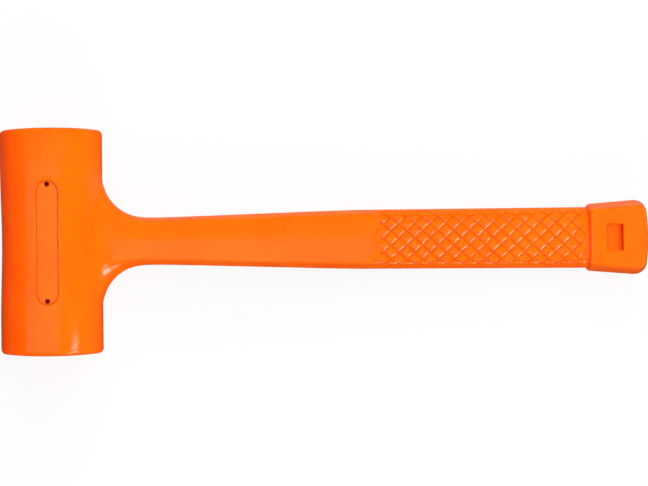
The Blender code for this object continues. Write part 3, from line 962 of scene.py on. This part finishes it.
def orange_urethane():
    """Glossy cast urethane: cloudy pigment, orange-peel skin, rubbed edges, painted shade in grooves, painted
    light in pockets, a parting line.
    """
    finish = Finish("orange_urethane_skin")
    place = hammer_place(finish)
    ridge = finish.node("ShaderNodeAttribute", {"attribute_name": "ridge"}, out="Fac")
    clouds = finish.noise(place, 38.0, 3.0)
    specks = finish.noise(place, 2600.0, 1.0)
    skin = finish.noise(place, 620.0, 2.0, 0.6)
    grain = finish.noise(place, 3400.0, 1.0)
    smears = finish.noise(place, 90.0, 4.0, 0.6, 0.8)
    pigment = finish.mix(clouds.between(0.3, 0.7), DEEP_ORANGE, BRIGHT_ORANGE)
    pigment = finish.mix(specks.between(0.62, 0.75) * 0.2, pigment, SPECK_ORANGE)
    rubbed = ridge.between(0.25, 0.9) * smears.between(0.35, 0.7)
    pigment = finish.mix(rubbed * 0.3, pigment, RUBBED_ORANGE)
    # Painted shade: the skin darkens where the surface falls in, in the grooves and round the recesses' walls
    painted_groove_shade = (0 - ridge).between(0.06, 0.50)
    pigment = finish.mix(painted_groove_shade * 0.8, pigment, CREVICE_PAINTED_SHADE)
    # Painted light: the pockets' floors are painted paler than their shade would leave them
    pigment = finish.mix(pocket_floor_painted_light(finish, place), pigment, POCKET_PAINTED_LIGHT)
    gloss = 0.13 + smears * 0.06 + rubbed * 0.03
    seam = 1 - abs(axis_of(finish, place, "Z")).between(0.00012, 0.00034)
    height = skin * 0.000010 + grain * 0.0000012 + seam * 0.00008
    finish.set(Specular_IOR_Level=0.4, Subsurface_Weight=0.6, Subsurface_Scale=1.0)
    finish.set(Subsurface_Radius=(0.0050, 0.0010, 0.0003))
    return finish.set(Base_Color=pigment, Roughness=gloss, Normal=finish.bump(height))


def mild_steel():
    """Hot rolled steel: grey scale, worn bright in places, brown streaks, a painted red glow under the pin
    holes.
    """
    finish = Finish("scaled_mild_steel")
    place = hammer_place(finish)
    scale = finish.noise(place, 160.0, 5.0, 0.65)
    rust = finish.noise(place, 75.0, 6.0, 0.7, 0.6)
    scratches = finish.noise(place, 2200.0, 2.0)
    colour = finish.mix(scale.between(0.35, 0.65), SCALE_DARK, SCALE_WORN)
    colour = finish.mix(rust.between(0.50, 0.70) * 0.8, colour, RUST_BROWN)
    # Painted light: a red, non-metal patch under each pin hole stands in for light glowing through the orange
    # casing
    painted_pin_glow = under_pins(finish, place)
    colour = finish.mix(painted_pin_glow, colour, PIN_GLOW_PAINTED_RED)
    gloss = 0.34 + scale * 0.25 + rust.between(0.55, 0.75) * 0.3
    metal = (1 - rust.between(0.6, 0.76) * 0.7) * (1 - painted_pin_glow)
    height = scale * 0.00003 + scratches * 0.000004
    return finish.set(Base_Color=colour, Roughness=gloss, Metallic=metal, Normal=finish.bump(height))


def shot_steel():
    """Cast steel shot: blue-grey, pitted and rubbed bright where the balls meet."""
    finish = Finish("cast_shot_steel")
    place = hammer_place(finish)
    pits = finish.noise(place, 900.0, 3.0, 0.6)
    rubbing = finish.noise(place, 260.0, 3.0)
    colour = finish.mix(rubbing.between(0.4, 0.62), SHOT_DULL, SHOT_RUBBED)
    gloss = 0.22 + pits * 0.22
    relief = finish.bump(pits * 0.00002)
    return finish.set(Base_Color=colour, Roughness=gloss, Metallic=1.0, Normal=relief)


def dress_steel():
    finish = mild_steel()
    for name in ("canister_tube", "canister_cap_upper", "canister_cap_lower", "handle_rod"):
        slots = frame["nodes"][name].data.materials
        slots.clear()
        slots.append(finish)


def make_ball(radius):
    """One ball, flat on one side and a little swollen in a band round its middle."""
    ball = begin("shot_master", bpy.ops.mesh.primitive_ico_sphere_add, subdivisions=4, radius=radius)
    open_mesh(ball)
    pick(ball, "verts", lambda vert: vert.co.z > radius * SHOT_FLAT_FROM)
    bpy.ops.transform.resize(value=(1, 1, 0), center_override=(0, 0, radius * SHOT_FLAT))
    pick(ball, "verts", lambda vert: abs(vert.co.z) < radius * SHOT_BAND)
    bpy.ops.transform.resize(value=(SHOT_BAND_SWELL, SHOT_BAND_SWELL, 1), center_override=(0, 0, 0))
    close_mesh()
    bpy.ops.object.shade_smooth()
    return ball


def make_shot():
    """A copy of one ball in each ball's place, on the file that it slides with."""
    finish = shot_steel()
    nodes = sorted(name for name in frame["nodes"] if name.startswith("shot_ball_"))
    low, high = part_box(nodes[0])
    master = make_ball((high - low).y / 2)
    for name in nodes:
        low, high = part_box(name)
        ball = master.copy()
        ball.data = master.data.copy()
        ball.name = name.replace("shot_ball", "cast_shot")
        bpy.context.scene.collection.objects.link(ball)
        ball.data.transform(Matrix.Translation((low + high) / 2))
        ball.data.materials.append(finish)
        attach(ball, "shot_file_" + name.split("_")[2])
        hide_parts(name)
    discard(master)


def make_floor():
    """Paper that reads as white and keeps a trace of the shadow, but shows dim in gloss, save for a card."""
    floor = begin("studio_floor", bpy.ops.mesh.primitive_plane_add, size=FLOOR_SIZE)
    finish = Finish("studio_paper")
    finish.set(Base_Color=PAPER_GREY, Roughness=0.9)
    ray = finish.node("ShaderNodeLightPath", out="Is Camera Ray")
    glossy = finish.node("ShaderNodeLightPath", out="Is Glossy Ray")
    white = finish.node("ShaderNodeEmission", {}, {"Color": WHITE, "Strength": 1.0})
    shader = Value(finish, finish.shader.outputs[0])
    dim = finish.node("ShaderNodeEmission", {}, {"Color": WHITE, "Strength": PAPER_SHINE})
    pale = finish.node("ShaderNodeEmission", {}, {"Color": WHITE, "Strength": CARD_SHINE})
    place = finish.node("ShaderNodeTexCoord", out="Object")
    along, back = axis_of(finish, place, "X"), axis_of(finish, place, "Y")
    card_end = along.between(-0.10, -0.09)
    card = card_end * back.between(-0.01, 0.01) * (1 - back.between(0.030, 0.036))
    shine = finish.node("ShaderNodeMixShader", {}, {0: card, 1: dim, 2: pale})
    seen = finish.node("ShaderNodeMixShader", {}, {0: ray * PAPER_WHITENESS, 1: shader, 2: white})
    mixed = finish.node("ShaderNodeMixShader", {}, {0: glossy, 1: seen, 2: shine})
    finish.tree.links.new(mixed.socket, finish.tree.nodes["Material Output"].inputs["Surface"])
    floor.data.materials.append(finish.block)


def add_lamp(name, place, aim, size, brightness, lights=True, shines=True, tint=(1, 1, 1), turn=0.0):
    """A flat lamp, which may be left out of what lights the surfaces or of what their gloss shows."""
    lamp = bpy.data.lights.new(name, "AREA")
    lamp.shape = "RECTANGLE"
    lamp.size, lamp.size_y = size
    lamp.energy = brightness * math.pi * size[0] * size[1]
    lamp.color = tint
    obj = bpy.data.objects.new(name, lamp)
    obj.location = place
    facing = (Vector(aim) - Vector(place)).to_track_quat("-Z", "Y")
    obj.rotation_euler = (facing @ Quaternion((0, 0, 1), math.radians(turn))).to_euler()
    obj.visible_diffuse = lights
    obj.visible_glossy = shines
    obj.visible_camera = False
    bpy.context.scene.collection.objects.link(obj)


def light_studio():
    """A key, two softboxes and a warm card light the hammer. Panels, strips and sparks only shine in it."""
    backdrop = Finish("studio_backdrop", bpy.data.worlds, "Background")
    ray = backdrop.node("ShaderNodeLightPath", out="Is Camera Ray")
    strength = BACKDROP_LIGHT + ray * (1 - BACKDROP_LIGHT)
    bpy.context.scene.world = backdrop.set(Color=WHITE, Strength=strength)
    add_lamp("upper_right_key", (0.55, 0.35, 1.20), (0, 0, 0), (0.9, 0.9), 4.9, shines=False)
    add_lamp("back_softbox", (0.12, 0.94, 0.71), (0, 0, 0), (1.0, 0.6), 7.0, shines=False)
    add_lamp("front_softbox", (0.12, -0.94, 0.71), (0, 0, 0), (1.0, 0.6), 6.7, shines=False)
    card_place, card_aim = (-0.95, 0, 0.25), (-0.13, 0, 0.02)
    add_lamp("warm_left_card", card_place, card_aim, (0.8, 0.5), 2.4, shines=False, tint=CARD_RED)
    for name, place, aim, size, brightness, turn in (
        ("overhead_panel", (-0.63, -0.55, 1.10), (-0.63, -0.55, 0), (1.75, 1.2), 0.65, 0),
        ("overhead_edge", (-0.63, 0.20, 1.10), (-0.63, 0.20, 0), (1.75, 0.30), 0.06, 0),
        ("lower_right_strip", (1.467, -1.258, 0.714), (0.07, 0, 0.03), (0.72, 0.62), 12.0, 0),
        ("neck_strip", (0.71, -1.67, 0.49), (-0.098, -0.012, 0.03), (0.80, 0.12), 16.0, 40),
        ("rim_spark", (-0.034, -0.0555, 0.097), (-0.1165, -0.0465, 0.0438), (0.007, 0.030), 11.0, 20),
        ("rim_glint", (-0.2067, -0.0563, 0.1169), (-0.1364, -0.048, 0.046), (0.007, 0.014), 2.5, 0),
    ):
        add_lamp(name, place, aim, size, brightness, lights=False, turn=turn)


def set_camera():
    """Straight above the hammer, at the photograph's scale and slight roll."""
    image_x = HEAD_IN_IMAGE[0] - IMAGE_WIDTH / 2
    image_y = IMAGE_HEIGHT / 2 - HEAD_IN_IMAGE[1]
    offset = Matrix.Rotation(ROLL, 3, "Z") @ Vector((image_x * PIXEL, image_y * PIXEL, 0))
    camera = bpy.data.objects.new("camera", bpy.data.cameras.new("camera"))
    camera.data.sensor_width = SENSOR_WIDTH
    camera.data.lens = FOCAL / IMAGE_WIDTH * SENSOR_WIDTH
    camera.location = head_centre - offset + Vector((0, 0, FOCAL * PIXEL))
    camera.rotation_euler = (0, 0, ROLL)
    bpy.context.scene.collection.objects.link(camera)
    bpy.context.scene.camera = camera


set_camera()
light_studio()
make_floor()
make_casing(orange_urethane())
dress_steel()
make_shot()
bpy.context.scene.view_settings.view_transform = "Standard"
